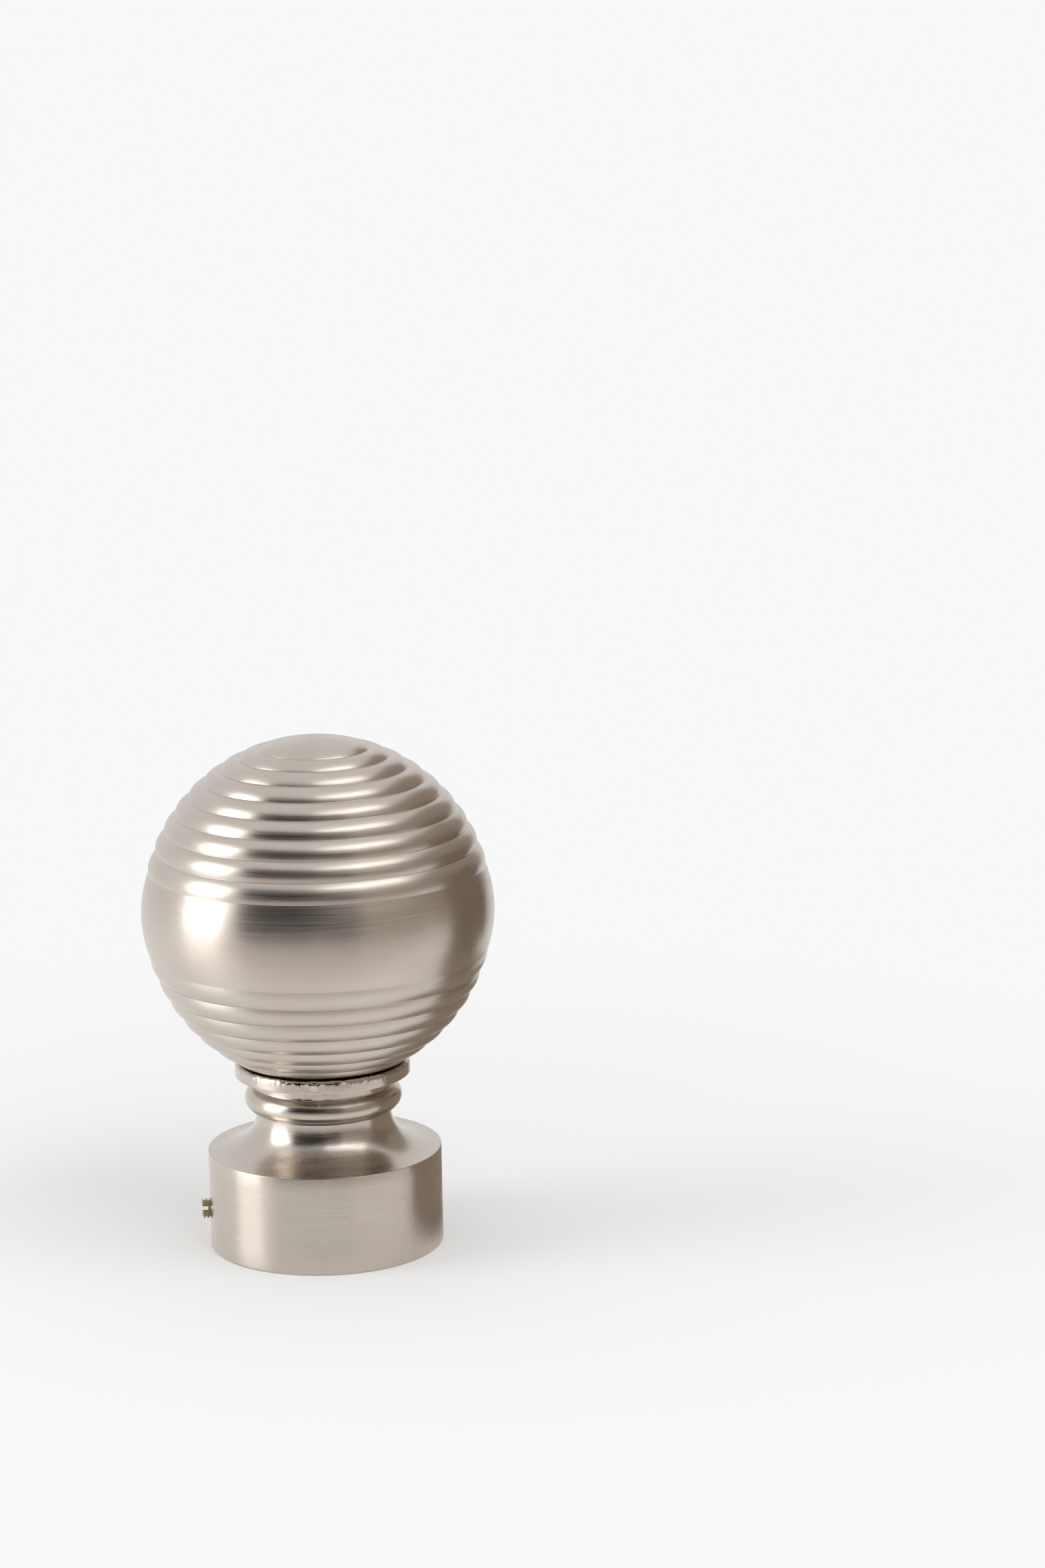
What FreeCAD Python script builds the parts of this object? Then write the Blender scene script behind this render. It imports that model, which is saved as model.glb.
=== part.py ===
"""Curtain pole finial: a hollow ribbed ball on a die-cast socket, clamped to its pole by a grub screw.

The origin is the centre of the socket's mouth, on the plane of its rim. +Z runs up the axis to the
ball, and the grub screw goes in from -X. Lengths are in millimetres and latitudes in degrees from the
ball's equator.
"""
import FreeCAD
import Part
import math
import os

# Pole socket
POLE_RADIUS = 17.5
POLE_CLEARANCE = 0.5
CUP_WALL = 4.5
CUP_HEIGHT = 19.0
SOCKET_DEPTH = 17.0
RIM_ROUND = 0.4

# Shoulder, waist, bead and step ring above the cup
SHOULDER_HEIGHT = 7.1
WAIST_RADIUS = 13.0
WAIST_HEIGHT = 0.7
BEAD_RADIUS = 15.15
BEAD_ROUND = 2.4
STEP_RADIUS = 13.3
STEP_HEIGHT = 2.25

# Collar and the pocket in it that the ball sits in
POCKET_FLOOR = 0.6
POCKET_CLEARANCE = 0.55
COLLAR_WALL = 2.15
COLLAR_ROUND = 0.75
LIP_GAP = 0.22

# Ribbed ball
BALL_RADIUS = 33.7
RIB_CREST_DROP = 0.28
UPPER_RIB_SWELL = 0.43
LOWER_RIB_SWELL = 0.25
UPPER_GROOVE_CUT = 0.2
LOWER_GROOVE_CUT = 0.13
GROOVE_WIDTH = 0.34
UPPER_BAND_DROP = 0.57
LOWER_BAND_DROP = 0.44
BAND_HALF_ANGLE = 14.35
RIB_ANGLE = 7.12
UPPER_RIBS = 8
LOWER_RIBS = 7
CAP_DROP = 0.07
BASE_EDGE_DROP = 0.92
BASE_STEP = 2.35
BASE_ROUND_WIDTH = 3.2
BALL_WALL = 0.6
BASE_WALL = 1.0

# Fixing screw that holds the ball on the casting, and its nut
FIXING_RADIUS = 3.0
FIXING_LENGTH = 16.0
FIXING_HOLE_CLEARANCE = 0.3
FIXING_WEB = 8.4
HEAD_RADIUS = 6.0
HEAD_HEIGHT = 3.6
HEAD_CROWN = 1.2
HEAD_CLEARANCE = 1.0
DRIVE_WIDTH = 1.2
DRIVE_LENGTH = 6.0
DRIVE_DEPTH = 2.0
NUT_ACROSS_FLATS = 10.0
NUT_HEIGHT = 5.0
THREAD_CLEARANCE = 0.05

# Grub screw that clamps the pole
GRUB_RADIUS = 1.95
GRUB_LENGTH = 6.0
GRUB_PROUD = 1.5
GRUB_HEIGHT = 7.0
GRUB_POINT = 0.5
GRUB_EDGE = 0.2
GRUB_SLOT_WIDTH = 0.7
GRUB_SLOT_DEPTH = 1.15
GRUB_SLOT_TURN = 18.0
COUNTERSINK_DEPTH = 0.35

# Radii and heights that follow from the sizes above
BORE_RADIUS = POLE_RADIUS + POLE_CLEARANCE
CUP_RADIUS = BORE_RADIUS + CUP_WALL
RIB_RADIUS = BALL_RADIUS - RIB_CREST_DROP
UPPER_GROOVE_RADIUS = RIB_RADIUS - UPPER_RIB_SWELL - UPPER_GROOVE_CUT
LOWER_GROOVE_RADIUS = RIB_RADIUS - LOWER_RIB_SWELL - LOWER_GROOVE_CUT
BASE_EDGE_RADIUS = RIB_RADIUS - BASE_EDGE_DROP
HOLLOW_RADIUS = min(UPPER_GROOVE_RADIUS, LOWER_GROOVE_RADIUS, BASE_EDGE_RADIUS) - BALL_WALL
BASE_LATITUDE = BAND_HALF_ANGLE + LOWER_RIBS * RIB_ANGLE
BASE_RADIUS = BASE_EDGE_RADIUS * math.cos(math.radians(BASE_LATITUDE))
POCKET_RADIUS = BASE_RADIUS + POCKET_CLEARANCE
COLLAR_RADIUS = POCKET_RADIUS + COLLAR_WALL
BASE_DROP = BASE_EDGE_RADIUS * math.sin(math.radians(BASE_LATITUDE)) + BASE_STEP

BEAD_CENTRE_RADIUS = BEAD_RADIUS - BEAD_ROUND
WAIST_Z = CUP_HEIGHT + SHOULDER_HEIGHT
BEAD_BOTTOM_Z = WAIST_Z + WAIST_HEIGHT
BEAD_Z = BEAD_BOTTOM_Z + math.sqrt(BEAD_ROUND ** 2 - (WAIST_RADIUS - BEAD_CENTRE_RADIUS) ** 2)
STEP_Z = BEAD_Z + math.sqrt(BEAD_ROUND ** 2 - (STEP_RADIUS - BEAD_CENTRE_RADIUS) ** 2)
COLLAR_Z = STEP_Z + STEP_HEIGHT
POCKET_Z = COLLAR_Z + POCKET_FLOOR
BALL_Z = POCKET_Z + BASE_DROP
HEAD_SEAT_Z = POCKET_Z - FIXING_WEB
NUT_Z = POCKET_Z + BASE_WALL

AXIS = FreeCAD.Vector(0, 0, 1)
ORIGIN = FreeCAD.Vector(0, 0, 0)
INWARD = FreeCAD.Vector(1, 0, 0)


def at(radius, height):
    """A point of a half section, in the plane of the axis and +X."""
    return FreeCAD.Vector(radius, 0, height)


def line(start, end):
    """A straight edge of a half section."""
    return Part.LineSegment(start, end).toShape()


def arc(start, middle, end):
    """A round edge of a half section, through three points."""
    return Part.Arc(start, middle, end).toShape()


def corner_arc(centre, radius, start_angle, end_angle):
    """A round edge of a half section from its centre, radius and two angles in degrees."""
    angles = (start_angle, (start_angle + end_angle) / 2, end_angle)
    points = [centre + at(math.cos(math.radians(a)), math.sin(math.radians(a))) * radius for a in angles]
    return arc(*points)


def turned(edges):
    """The solid that a closed half section sweeps round the axis."""
    return Part.Face(Part.Wire(edges)).revolve(ORIGIN, AXIS, 360)


def on_ball(radius, latitude):
    """The point at a latitude of a sphere about the ball's centre."""
    turn = math.radians(latitude)
    return at(radius * math.cos(turn), BALL_Z + radius * math.sin(turn))


def groove_point(step, side):
    """The bottom of a groove, counted from the smooth band, above it (side 1) or below it (side -1)."""
    radius = UPPER_GROOVE_RADIUS if side > 0 else LOWER_GROOVE_RADIUS
    if step == 0:
        radius = BALL_RADIUS - (UPPER_BAND_DROP if side > 0 else LOWER_BAND_DROP)
    return on_ball(radius, side * (BAND_HALF_ANGLE + step * RIB_ANGLE))


def groove_edge(step, side, beyond):
    """The edge of a groove, on its side away from the smooth band (beyond 1) or towards it (beyond -1)."""
    radius = RIB_RADIUS - (UPPER_RIB_SWELL if side > 0 else LOWER_RIB_SWELL)
    half_width = math.degrees(GROOVE_WIDTH / 2 / RIB_RADIUS)
    latitude = BAND_HALF_ANGLE + step * RIB_ANGLE + beyond * half_width
    return on_ball(radius, side * latitude)


def rib_crest(step, side):
    """The top of the rib between one groove and the next one away from the smooth band."""
    return on_ball(RIB_RADIUS, side * (BAND_HALF_ANGLE + (step + 0.5) * RIB_ANGLE))


def rib_edges(step, side):
    """A rib's round face and the sides of the grooves next to it, in order away from the smooth band."""
    edges = []
    start = groove_point(step, side)
    if step > 0:
        edges.append(line(start, groove_edge(step, side, 1)))
        start = groove_edge(step, side, 1)
    if side < 0 and step == LOWER_RIBS - 1:
        return edges + [arc(start, rib_crest(step, side), on_ball(BASE_EDGE_RADIUS, -BASE_LATITUDE))]
    end = groove_edge(step + 1, side, -1)
    return edges + [arc(start, rib_crest(step, side), end), line(end, groove_point(step + 1, side))]


def rib_lowest_z():
    """The height of the lowest point of the last rib, which hangs over the collar's lip."""
    circle = rib_edges(LOWER_RIBS - 1, -1)[-1].Curve
    return circle.Center.z - circle.Radius


LIP_Z = rib_lowest_z() - LIP_GAP


def ball_outline():
    """The ball's outer edges, from its flat base up to the top of its cap."""
    base_z = BALL_Z - BASE_DROP
    flat_end = at(BASE_RADIUS - BASE_ROUND_WIDTH, base_z)
    base_round = (BASE_ROUND_WIDTH ** 2 + BASE_STEP ** 2) / (2 * BASE_STEP)
    round_turn = math.degrees(math.asin(BASE_ROUND_WIDTH / base_round))
    edges = [line(at(FIXING_RADIUS + FIXING_HOLE_CLEARANCE, base_z), flat_end)]
    edges.append(corner_arc(flat_end + at(0, base_round), base_round, -90, round_turn - 90))
    for step in reversed(range(LOWER_RIBS)):
        edges += reversed(rib_edges(step, -1))
    edges.append(arc(groove_point(0, -1), on_ball(BALL_RADIUS, 0), groove_point(0, 1)))
    for step in range(UPPER_RIBS):
        edges += rib_edges(step, 1)
    return edges + cap_outline()


def cap_outline():
    """The cap's edges: half a rib up from the last groove, then a dome about the ball's centre."""
    crest_latitude = BAND_HALF_ANGLE + (UPPER_RIBS + 0.5) * RIB_ANGLE
    cap_radius = RIB_RADIUS - CAP_DROP
    start = groove_edge(UPPER_RIBS, 1, 1)
    mirrored = groove_edge(UPPER_RIBS + 1, 1, -1)
    crest = on_ball(cap_radius, crest_latitude)
    rib = arc(start, crest, mirrored)
    half_way = rib.valueAt((3 * rib.FirstParameter + rib.LastParameter) / 4)
    top = on_ball(cap_radius, 90)
    dome_middle = on_ball(cap_radius, (crest_latitude + 90) / 2)
    groove_side = line(groove_point(UPPER_RIBS, 1), start)
    return [groove_side, arc(start, half_way, crest), arc(crest, dome_middle, top)]


def make_ball_shell():
    """The ball: ribs, band and cap outside, a plain hollow inside, a flat base with the screw's hole."""
    hole = FIXING_RADIUS + FIXING_HOLE_CLEARANCE
    base_z = BALL_Z - BASE_DROP
    floor_drop = BASE_DROP - BASE_WALL
    floor_latitude = -math.degrees(math.asin(floor_drop / HOLLOW_RADIUS))
    floor_end = on_ball(HOLLOW_RADIUS, floor_latitude)
    edges = ball_outline()
    edges.append(line(on_ball(RIB_RADIUS - CAP_DROP, 90), on_ball(HOLLOW_RADIUS, 90)))
    edges.append(arc(on_ball(HOLLOW_RADIUS, 90), on_ball(HOLLOW_RADIUS, 0), floor_end))
    edges.append(line(floor_end, at(hole, BALL_Z - floor_drop)))
    edges.append(line(at(hole, BALL_Z - floor_drop), at(hole, base_z)))
    return turned(edges)


def shoulder_edge():
    """The hollow curve from the waist down to the cup's sharp top edge: a quarter of an ellipse."""
    reach = CUP_RADIUS - WAIST_RADIUS
    centre = at(CUP_RADIUS, WAIST_Z)
    if reach >= SHOULDER_HEIGHT:
        ellipse = Part.Ellipse(centre - at(reach, 0), centre - at(0, SHOULDER_HEIGHT), centre)
        return Part.ArcOfEllipse(ellipse, 0, math.pi / 2).toShape()
    ellipse = Part.Ellipse(centre - at(0, SHOULDER_HEIGHT), centre - at(reach, 0), centre)
    return Part.ArcOfEllipse(ellipse, 0, math.pi / 2).toShape()


def casting_outline():
    """The casting's outer edges, from the rim up to the collar's lip."""
    bead_centre = at(BEAD_CENTRE_RADIUS, BEAD_Z)
    bead_low = math.degrees(math.atan2(BEAD_BOTTOM_Z - BEAD_Z, WAIST_RADIUS - BEAD_CENTRE_RADIUS))
    bead_high = math.degrees(math.atan2(STEP_Z - BEAD_Z, STEP_RADIUS - BEAD_CENTRE_RADIUS))
    rim_centre = at(CUP_RADIUS - RIM_ROUND, RIM_ROUND)
    lip_round = min(COLLAR_ROUND, LIP_Z - COLLAR_Z)
    lip_centre = at(COLLAR_RADIUS - lip_round, LIP_Z - lip_round)
    return [
        line(at(BORE_RADIUS, 0), at(CUP_RADIUS - RIM_ROUND, 0)),
        corner_arc(rim_centre, RIM_ROUND, -90, 0),
        line(at(CUP_RADIUS, RIM_ROUND), at(CUP_RADIUS, CUP_HEIGHT)),
        shoulder_edge(),
        line(at(WAIST_RADIUS, WAIST_Z), at(WAIST_RADIUS, BEAD_BOTTOM_Z)),
        corner_arc(bead_centre, BEAD_ROUND, bead_low, bead_high),
        line(at(STEP_RADIUS, STEP_Z), at(STEP_RADIUS, COLLAR_Z)),
        line(at(STEP_RADIUS, COLLAR_Z), at(COLLAR_RADIUS, COLLAR_Z)),
        line(at(COLLAR_RADIUS, COLLAR_Z), at(COLLAR_RADIUS, LIP_Z - lip_round)),
        corner_arc(lip_centre, lip_round, 0, 90),
        line(at(COLLAR_RADIUS - lip_round, LIP_Z), at(POCKET_RADIUS, LIP_Z)),
    ]


def make_socket_casting():
    """The casting: the outer shape, the ball's pocket, the screw's hole and recess, and the pole's bore."""
    hole = FIXING_RADIUS + FIXING_HOLE_CLEARANCE
    recess = HEAD_RADIUS + HEAD_CLEARANCE
    inside = [
        at(POCKET_RADIUS, LIP_Z),
        at(POCKET_RADIUS, POCKET_Z),
        at(hole, POCKET_Z),
        at(hole, HEAD_SEAT_Z),
        at(recess, HEAD_SEAT_Z),
        at(recess, SOCKET_DEPTH),
        at(BORE_RADIUS, SOCKET_DEPTH),
        at(BORE_RADIUS, 0),
    ]
    edges = casting_outline() + [line(*pair) for pair in zip(inside, inside[1:])]
    thread = GRUB_RADIUS + THREAD_CLEARANCE
    outside = FreeCAD.Vector(-CUP_RADIUS, 0, GRUB_HEIGHT)
    tapped_hole = Part.makeCylinder(thread, CUP_WALL + POLE_CLEARANCE, outside, INWARD)
    countersink = Part.makeCone(thread + COUNTERSINK_DEPTH, thread, COUNTERSINK_DEPTH, outside, INWARD)
    return turned(edges).cut(tapped_hole.fuse(countersink))


def make_fixing_screw():
    """The pan-head screw with a cross recess, up from the socket into the nut in the ball."""
    head_z = HEAD_SEAT_Z - HEAD_HEIGHT
    crown_z = head_z + HEAD_CROWN
    crown_round = (HEAD_RADIUS ** 2 + HEAD_CROWN ** 2) / (2 * HEAD_CROWN)
    crown_turn = math.degrees(math.asin(HEAD_RADIUS / crown_round))
    tip_z = HEAD_SEAT_Z + FIXING_LENGTH
    crown = corner_arc(at(0, head_z + crown_round), crown_round, -90, crown_turn - 90)
    path = [
        at(HEAD_RADIUS, crown_z),
        at(HEAD_RADIUS, HEAD_SEAT_Z),
        at(FIXING_RADIUS, HEAD_SEAT_Z),
        at(FIXING_RADIUS, tip_z),
        at(0, tip_z),
        at(0, head_z),
    ]
    screw = turned([crown] + [line(*pair) for pair in zip(path, path[1:])])
    corner = FreeCAD.Vector(-DRIVE_LENGTH / 2, -DRIVE_WIDTH / 2, head_z)
    slot = Part.makeBox(DRIVE_LENGTH, DRIVE_WIDTH, DRIVE_DEPTH, corner)
    slot = slot.fuse(slot.rotated(ORIGIN, AXIS, 90))
    return screw.cut(slot)


def make_ball_nut():
    """The hexagon nut on the floor inside the ball."""
    corner_radius = NUT_ACROSS_FLATS / math.sqrt(3)
    corners = [FreeCAD.Vector(corner_radius, 0, NUT_Z)]
    for turn in range(1, 7):
        corners.append(FreeCAD.Rotation(AXIS, 60 * turn).multVec(corners[0]))
    hexagon = Part.Face(Part.makePolygon(corners)).extrude(AXIS * NUT_HEIGHT)
    bore = Part.makeCylinder(FIXING_RADIUS + THREAD_CLEARANCE, NUT_HEIGHT, at(0, NUT_Z), AXIS)
    return hexagon.cut(bore)


def make_grub_screw():
    """The headless slotted screw, proud of the cup, with its point at the wall of the pole's bore."""
    profile = [
        at(0, 0),
        at(GRUB_RADIUS - GRUB_EDGE, 0),
        at(GRUB_RADIUS, GRUB_EDGE),
        at(GRUB_RADIUS, GRUB_LENGTH - GRUB_POINT),
        at(GRUB_RADIUS - GRUB_POINT, GRUB_LENGTH),
        at(0, GRUB_LENGTH),
        at(0, 0),
    ]
    screw = turned([line(*pair) for pair in zip(profile, profile[1:])])
    corner = FreeCAD.Vector(-GRUB_SLOT_WIDTH / 2, -GRUB_RADIUS, 0)
    slot = Part.makeBox(GRUB_SLOT_WIDTH, 2 * GRUB_RADIUS, GRUB_SLOT_DEPTH, corner)
    screw = screw.cut(slot).rotated(ORIGIN, AXIS, GRUB_SLOT_TURN)
    screw.rotate(ORIGIN, FreeCAD.Vector(0, 1, 0), 90)
    screw.translate(FreeCAD.Vector(-CUP_RADIUS - GRUB_PROUD, 0, GRUB_HEIGHT))
    return screw


PIECES = {
    "ball_shell": make_ball_shell,
    "socket_casting": make_socket_casting,
    "fixing_screw": make_fixing_screw,
    "ball_nut": make_ball_nut,
    "grub_screw": make_grub_screw,
}

os.makedirs("parts", exist_ok=True)
for name, make in PIECES.items():
    shape = make()
    shape.exportStep(f"parts/{name}.step")
    box = shape.BoundBox
    print(f"{name}: volume {shape.Volume / 1000:.2f} cm3, valid {shape.isValid()},"
          f" solids {len(shape.Solids)},"
          f" z {box.ZMin:.2f} to {box.ZMax:.2f}, x {box.XMin:.2f} to {box.XMax:.2f}")
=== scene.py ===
"""Curtain pole finial: the dressed model, its finishes and a pale studio.

The ribbed ball, the socket casting and the grub screw are turned again at a finer grain than the solids they
stand for, with rounder ribs and with the crinkled lip, the casting's seam and the screw's thread that the
solids leave out. The fixing screw and its nut keep their solids. Lengths are in metres in the frame's own
axes: +Z runs up the finial from its rim, and the grub screw goes in from -X.
"""

import logging
import math
from collections.abc import Sequence
from dataclasses import dataclass, replace
from enum import Enum

import bmesh
import bpy
from bmesh.types import BMesh, BMVert
from mathutils import Matrix, Vector, geometry, noise

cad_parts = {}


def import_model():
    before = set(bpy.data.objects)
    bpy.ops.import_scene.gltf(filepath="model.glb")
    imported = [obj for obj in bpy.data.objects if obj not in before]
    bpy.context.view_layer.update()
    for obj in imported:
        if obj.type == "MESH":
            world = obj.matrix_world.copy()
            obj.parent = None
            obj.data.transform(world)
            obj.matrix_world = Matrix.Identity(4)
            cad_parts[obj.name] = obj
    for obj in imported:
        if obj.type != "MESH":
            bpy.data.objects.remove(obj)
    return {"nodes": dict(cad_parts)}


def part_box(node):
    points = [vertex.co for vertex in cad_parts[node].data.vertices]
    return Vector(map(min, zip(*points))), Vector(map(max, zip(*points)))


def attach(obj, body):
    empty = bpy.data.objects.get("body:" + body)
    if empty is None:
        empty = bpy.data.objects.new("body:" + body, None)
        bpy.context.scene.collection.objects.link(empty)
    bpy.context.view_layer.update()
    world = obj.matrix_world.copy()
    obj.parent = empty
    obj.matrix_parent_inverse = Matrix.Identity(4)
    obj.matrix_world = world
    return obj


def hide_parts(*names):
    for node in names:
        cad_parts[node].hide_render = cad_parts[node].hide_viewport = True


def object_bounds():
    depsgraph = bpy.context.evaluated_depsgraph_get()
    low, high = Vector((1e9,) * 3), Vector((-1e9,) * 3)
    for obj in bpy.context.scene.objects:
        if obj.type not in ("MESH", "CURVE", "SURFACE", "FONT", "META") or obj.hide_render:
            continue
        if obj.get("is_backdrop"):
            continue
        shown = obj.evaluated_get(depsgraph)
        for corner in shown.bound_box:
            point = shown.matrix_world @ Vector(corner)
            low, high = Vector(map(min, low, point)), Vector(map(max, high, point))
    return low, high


MM = 0.001
AXIS = Vector((0.0, 0.0, 1.0))
ORIGIN = Vector((0.0, 0.0, 0.0))

# How finely pieces are turned: the largest error of an arc and its fewest steps, the steps of a rounded
# corner, and the steps of a full turn and the sectors that it is made in
ARC_ERROR = 0.008 * MM
LEAST_ARC_STEPS = 3
CORNER_STEPS = 3
TURN_STEPS = 240
CAST_TURN_STEPS = 480
HOLE_STEPS = 96
SECTORS = 12

# Points that lie closer together than this are merged
WELD = 0.0005 * MM

# How far the ball stays inside the box of its CAD node
SKIN = 0.001 * MM

# Edges that bend by more than this are shaded as sharp
SHARP_ANGLE = math.radians(32.0)

# The latitude of the ball's top, and half a turn, in degrees
POLE = 90.0
HALF_TURN = 180.0

# The attribute that says how far a spot was left as cast, from 0 for brushed to 1 for bare
BARE = "bare"

# The Mix node's sockets by number, because several of them share a name
MIX_SHARE = 0
MIX_FIRST = 2
MIX_SECOND = 3
MIX_FIRST_COLOUR = 6
MIX_SECOND_COLOUR = 7
MIX_COLOUR = 2

# The values that most of a noise texture lies between
NOISE_LOW = 0.3
NOISE_HIGH = 0.7

log = logging.getLogger("finial")


class Bend(Enum):
    """The way a round edge of a half section turns as it is drawn: the sign of the axis it turns about."""

    CREST = -1.0
    VALLEY = 1.0


class Half(Enum):
    """The half of the ball above its band or below it: the sign of the latitudes there."""

    UPPER = 1
    LOWER = -1


class Flank(Enum):
    """The side of a groove away from the ball's band or towards it: the sign of the step from its bottom."""

    FAR = 1
    NEAR = -1


def on_section(radius: float, height: float) -> Vector:
    """The point of a half section at a distance from the axis and a height."""
    return Vector((radius, 0.0, height))


def centre_through(first: Vector, middle: Vector, last: Vector) -> Vector:
    """The centre of the circle through three points of a half section.

    Args:
        first: A point on the circle.
        middle: Another point on it.
        last: A third point on it.

    Returns:
        The centre, where the perpendicular bisectors of the two chords meet.
    """
    quarter = Matrix.Rotation(math.pi / 2, 3, "Y")
    low = (first + middle) / 2
    high = (middle + last) / 2
    centre, _ = geometry.intersect_line_line(
        low, low + quarter @ (middle - first), high, high + quarter @ (last - middle)
    )
    return centre


class HalfSection:
    """A half section, drawn edge by edge in the plane of the axis and +X and then turned round the axis."""

    def __init__(self, start: Vector) -> None:
        """Starts the section at a point."""
        self.mesh = bmesh.new()
        self.tip = self.mesh.verts.new(start)

    def move(self, start: Vector) -> None:
        """Starts a new stretch of the section at a point."""
        self.tip = self.mesh.verts.new(start)

    def line(self, end: Vector, parts: int = 1) -> BMVert:
        """Draws a straight edge.

        Args:
            end: The point that the edge runs to.
            parts: How many equal parts the edge is made in.

        Returns:
            The vertex at its end.
        """
        step = (end - self.tip.co) / parts
        for _ in range(parts):
            made = bmesh.ops.extrude_vert_indiv(self.mesh, verts=[self.tip])
            bmesh.ops.translate(self.mesh, vec=step, verts=made["verts"])
            self.tip = made["verts"][0]
        return self.tip

    def arc(self, centre: Vector, end: Vector, bend: Bend) -> BMVert:
        """Draws a round edge.

        Args:
            centre: The centre that it turns about.
            end: The point that it runs to, or one beyond it in the same direction from the centre.
            bend: The way that it turns.

        Returns:
            The vertex at its end.
        """
        spoke = self.tip.co - centre
        turn = spoke.angle(end - centre)
        fineness = 2 * math.acos(1 - ARC_ERROR / spoke.length)
        made = bmesh.ops.spin(
            self.mesh,
            geom=[self.tip],
            cent=centre,
            axis=(0.0, bend.value, 0.0),
            angle=turn,
            steps=max(LEAST_ARC_STEPS, math.ceil(turn / fineness)),
        )
        self.tip = next(item for item in made["geom_last"] if isinstance(item, BMVert))
        return self.tip

    def soften(self, corners: Sequence[BMVert], size: float) -> None:
        """Rounds corners of the section.

        Args:
            corners: The vertices at the corners.
            size: How far along its edges each corner is cut back.
        """
        bmesh.ops.bevel(
            self.mesh,
            geom=list(corners),
            offset=size,
            offset_type="OFFSET",
            segments=CORNER_STEPS,
            profile=0.5,
            affect="VERTICES",
            material=-1,
        )

    def turned(self, steps: int) -> BMesh:
        """Turns the section into a wall round the axis: one sector, then copies of it, which is quicker.

        Args:
            steps: How many steps the full turn is made in.

        Returns:
            The closed mesh, with its faces outwards.
        """
        sector = math.tau / SECTORS
        bmesh.ops.spin(
            self.mesh,
            geom=self.mesh.verts[:] + self.mesh.edges[:],
            cent=ORIGIN,
            axis=AXIS,
            angle=sector,
            steps=steps // SECTORS,
        )
        bmesh.ops.spin(
            self.mesh,
            geom=self.mesh.verts[:] + self.mesh.edges[:] + self.mesh.faces[:],
            cent=ORIGIN,
            axis=AXIS,
            angle=math.tau - sector,
            steps=SECTORS - 1,
            use_duplicate=True,
        )
        close_up(self.mesh)
        return self.mesh


def close_up(mesh: BMesh) -> None:
    """Merges the doubles of a mesh and turns its faces outwards.

    Args:
        mesh: The mesh, which is changed.
    """
    bmesh.ops.remove_doubles(mesh, verts=mesh.verts, dist=WELD)
    bmesh.ops.dissolve_degenerate(mesh, edges=mesh.edges, dist=WELD)
    bmesh.ops.recalc_face_normals(mesh, faces=mesh.faces)


def new_object(name: str, mesh: BMesh) -> bpy.types.Object:
    """Puts a finished mesh into the scene, smooth apart from its sharp edges.

    Args:
        name: The object's name.
        mesh: The mesh, which is used up.

    Returns:
        The object.
    """
    data = bpy.data.meshes.new(name)
    mesh.to_mesh(data)
    mesh.free()
    data.shade_smooth()
    data.set_sharp_from_angle(angle=SHARP_ANGLE)
    item = bpy.data.objects.new(name, data)
    bpy.context.scene.collection.objects.link(item)
    return item


def cut_away(item: bpy.types.Object, tool: BMesh) -> None:
    """Cuts a shape out of a piece.

    Args:
        item: The piece, whose mesh is changed.
        tool: The closed shape that is cut out, which is used up.
    """
    cutter = new_object("cutter", tool)
    modifier = item.modifiers.new("cut", "BOOLEAN")
    modifier.operation = "DIFFERENCE"
    modifier.solver = "EXACT"
    modifier.object = cutter
    graph = bpy.context.evaluated_depsgraph_get()
    carved = bpy.data.meshes.new_from_object(item.evaluated_get(graph))
    item.modifiers.clear()
    item.data = carved
    item.data.set_sharp_from_angle(angle=SHARP_ANGLE)
    bpy.data.objects.remove(cutter)


def stand_in(item: bpy.types.Object, node: str, body: str) -> None:
    """Lets a piece stand for a CAD node.

    Args:
        item: The piece.
        node: The CAD node that it replaces.
        body: The body that it moves with.
    """
    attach(item, body)
    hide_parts(node)


def linear(colour: str) -> tuple[float, float, float, float]:
    """Turns an sRGB colour to a linear one, by the standard's own curve.

    Args:
        colour: The colour as six hex digits.

    Returns:
        The linear colour, with full alpha.
    """
    shares = [int(colour[start:start + 2], 16) / 255 for start in (0, 2, 4)]
    parts = [part / 12.92 if part <= 0.04045 else ((part + 0.055) / 1.055) ** 2.4 for part in shares]
    return (*parts, 1.0)


def add_node(
    tree: bpy.types.NodeTree, kind: str, inputs: dict[str | int, object] | None = None, **settings: object
) -> bpy.types.Node:
    """Adds a node with its settings and what goes into it.

    Args:
        tree: The node tree.
        kind: The node's type.
        inputs: For each socket's name or number, the value to set or the output socket to link.
        settings: The node's own attributes.

    Returns:
        The node.
    """
    node = tree.nodes.new(kind)
    for name, value in settings.items():
        setattr(node, name, value)
    for socket, value in (inputs or {}).items():
        if isinstance(value, bpy.types.NodeSocket):
            tree.links.new(value, node.inputs[socket])
        else:
            node.inputs[socket].default_value = value
    return node


def new_material(name: str) -> bpy.types.Material:
    """Makes a material with an empty node tree.

    Args:
        name: The material's name.

    Returns:
        The material.
    """
    material = bpy.data.materials.new(name)
    material.use_nodes = True
    material.node_tree.nodes.clear()
    return material


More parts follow.
